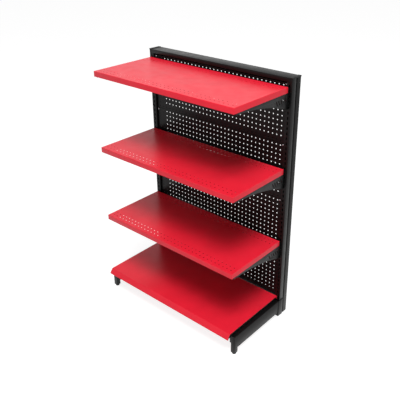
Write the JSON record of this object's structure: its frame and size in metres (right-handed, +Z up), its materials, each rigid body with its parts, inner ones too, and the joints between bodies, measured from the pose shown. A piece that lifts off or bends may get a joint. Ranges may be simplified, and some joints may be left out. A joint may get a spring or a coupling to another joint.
{
  "type": "gondola shelving unit",
  "caption": "Free-standing single-sided gondola shelving bay: slotted uprights, perforated back panels, hook-in folded shelves on brackets and a base deck on levelling feet.",
  "frame": {"origin": "on the floor, at the centre of the plan of the whole unit", "axes": "+X to the right, +Y to the back, +Z up; shoppers stand on the -Y side"},
  "size_m": [0.9364, 0.5034, 1.36],
  "materials": {
    "black_powder_coat": "fine matt powder coat on steel",
    "red_powder_coat": "satin powder coat on steel",
    "zinc_steel": "zinc plated",
    "black_plastic": "moulded polypropylene"
  },
  "bodies": {
    "root": {"upright_left": "black_powder_coat", "end_cap_left": "black_plastic", "base_bracket_left": "black_powder_coat", "leg_plug_front_left": "black_plastic", "leg_plug_rear_left": "black_plastic", "rail_tabs_left": "black_powder_coat", "upright_right": "black_powder_coat", "end_cap_right": "black_plastic", "base_bracket_right": "black_powder_coat", "leg_plug_front_right": "black_plastic", "leg_plug_rear_right": "black_plastic", "rail_tabs_right": "black_powder_coat", "cross_rail_1": "black_powder_coat", "cross_rail_2": "black_powder_coat", "cross_rail_3": "black_powder_coat", "cross_rail_4": "black_powder_coat", "cross_rail_5": "black_powder_coat", "back_panel_1": "black_powder_coat", "back_panel_2": "black_powder_coat", "back_panel_3": "black_powder_coat", "back_panel_4": "black_powder_coat", "top_cover": "black_powder_coat", "panel_screws": "zinc_steel", "rail_screws": "zinc_steel"},
    "deck": {"base_deck": "red_powder_coat", "deck_stiffener": "black_powder_coat", "deck_support_left": "black_powder_coat", "deck_support_right": "black_powder_coat"},
    "brackets_1": {"shelf_bracket_1_left": "black_powder_coat", "shelf_bracket_1_right": "black_powder_coat"},
    "shelf_1": {"shelf_tray_1": "red_powder_coat", "shelf_stiffener_1": "red_powder_coat"},
    "brackets_2": {"shelf_bracket_2_left": "black_powder_coat", "shelf_bracket_2_right": "black_powder_coat"},
    "shelf_2": {"shelf_tray_2": "red_powder_coat", "shelf_stiffener_2": "red_powder_coat"},
    "brackets_3": {"shelf_bracket_3_left": "black_powder_coat", "shelf_bracket_3_right": "black_powder_coat"},
    "shelf_3": {"shelf_tray_3": "red_powder_coat", "shelf_stiffener_3": "red_powder_coat"},
    "foot_pad_front_left": {"foot_pad_front_left": "black_plastic"},
    "foot_stem_front_left": {"foot_stem_front_left": "zinc_steel"},
    "foot_pad_front_right": {"foot_pad_front_right": "black_plastic"},
    "foot_stem_front_right": {"foot_stem_front_right": "zinc_steel"},
    "foot_pad_rear_left": {"foot_pad_rear_left": "black_plastic"},
    "foot_stem_rear_left": {"foot_stem_rear_left": "zinc_steel"},
    "foot_pad_rear_right": {"foot_pad_rear_right": "black_plastic"},
    "foot_stem_rear_right": {"foot_stem_rear_right": "zinc_steel"}
  },
  "joints": [
    {"name": "deck_lift", "type": "slide", "parent": "root", "child": "deck", "axis": [0, 0, 1], "range_m": [0, 0.04]},
    {"name": "brackets_1_unhook", "type": "slide", "parent": "root", "child": "brackets_1", "axis": [0, 0, 1], "range_m": [0, 0.0085]},
    {"name": "shelf_1_lift", "type": "slide", "parent": "brackets_1", "child": "shelf_1", "axis": [0, 0, 1], "range_m": [0, 0.03]},
    {"name": "brackets_2_unhook", "type": "slide", "parent": "root", "child": "brackets_2", "axis": [0, 0, 1], "range_m": [0, 0.0085]},
    {"name": "shelf_2_lift", "type": "slide", "parent": "brackets_2", "child": "shelf_2", "axis": [0, 0, 1], "range_m": [0, 0.03]},
    {"name": "brackets_3_unhook", "type": "slide", "parent": "root", "child": "brackets_3", "axis": [0, 0, 1], "range_m": [0, 0.0085]},
    {"name": "shelf_3_lift", "type": "slide", "parent": "brackets_3", "child": "shelf_3", "axis": [0, 0, 1], "range_m": [0, 0.03]},
    {"name": "foot_front_left_extend", "type": "slide", "parent": "root", "child": "foot_pad_front_left", "axis": [0, 0, -1], "range_m": [0, 0.0189]},
    {"name": "foot_front_left_turn", "type": "hinge", "parent": "foot_pad_front_left", "child": "foot_stem_front_left", "pos_m": [-0.4535, -0.19975, 0.01], "axis": [0, 0, -1], "range_deg": [0, 5400]},
    {"name": "foot_front_right_extend", "type": "slide", "parent": "root", "child": "foot_pad_front_right", "axis": [0, 0, -1], "range_m": [0, 0.0189]},
    {"name": "foot_front_right_turn", "type": "hinge", "parent": "foot_pad_front_right", "child": "foot_stem_front_right", "pos_m": [0.4535, -0.19975, 0.01], "axis": [0, 0, -1], "range_deg": [0, 5400]},
    {"name": "foot_rear_left_extend", "type": "slide", "parent": "root", "child": "foot_pad_rear_left", "axis": [0, 0, -1], "range_m": [0, 0.0189]},
    {"name": "foot_rear_left_turn", "type": "hinge", "parent": "foot_pad_rear_left", "child": "foot_stem_rear_left", "pos_m": [-0.451, 0.21525, 0.01], "axis": [0, 0, -1], "range_deg": [0, 5400]},
    {"name": "foot_rear_right_extend", "type": "slide", "parent": "root", "child": "foot_pad_rear_right", "axis": [0, 0, -1], "range_m": [0, 0.0189]},
    {"name": "foot_rear_right_turn", "type": "hinge", "parent": "foot_pad_rear_right", "child": "foot_stem_rear_right", "pos_m": [0.451, 0.21525, 0.01], "axis": [0, 0, -1], "range_deg": [0, 5400]}
  ],
  "couplings": [
    {"joint": "foot_front_left_extend", "follows": "foot_front_left_turn", "m_per_rad": 0.00019894},
    {"joint": "foot_front_right_extend", "follows": "foot_front_right_turn", "m_per_rad": 0.00019894},
    {"joint": "foot_rear_left_extend", "follows": "foot_rear_left_turn", "m_per_rad": 0.00019894},
    {"joint": "foot_rear_right_extend", "follows": "foot_rear_right_turn", "m_per_rad": 0.00019894}
  ]
}
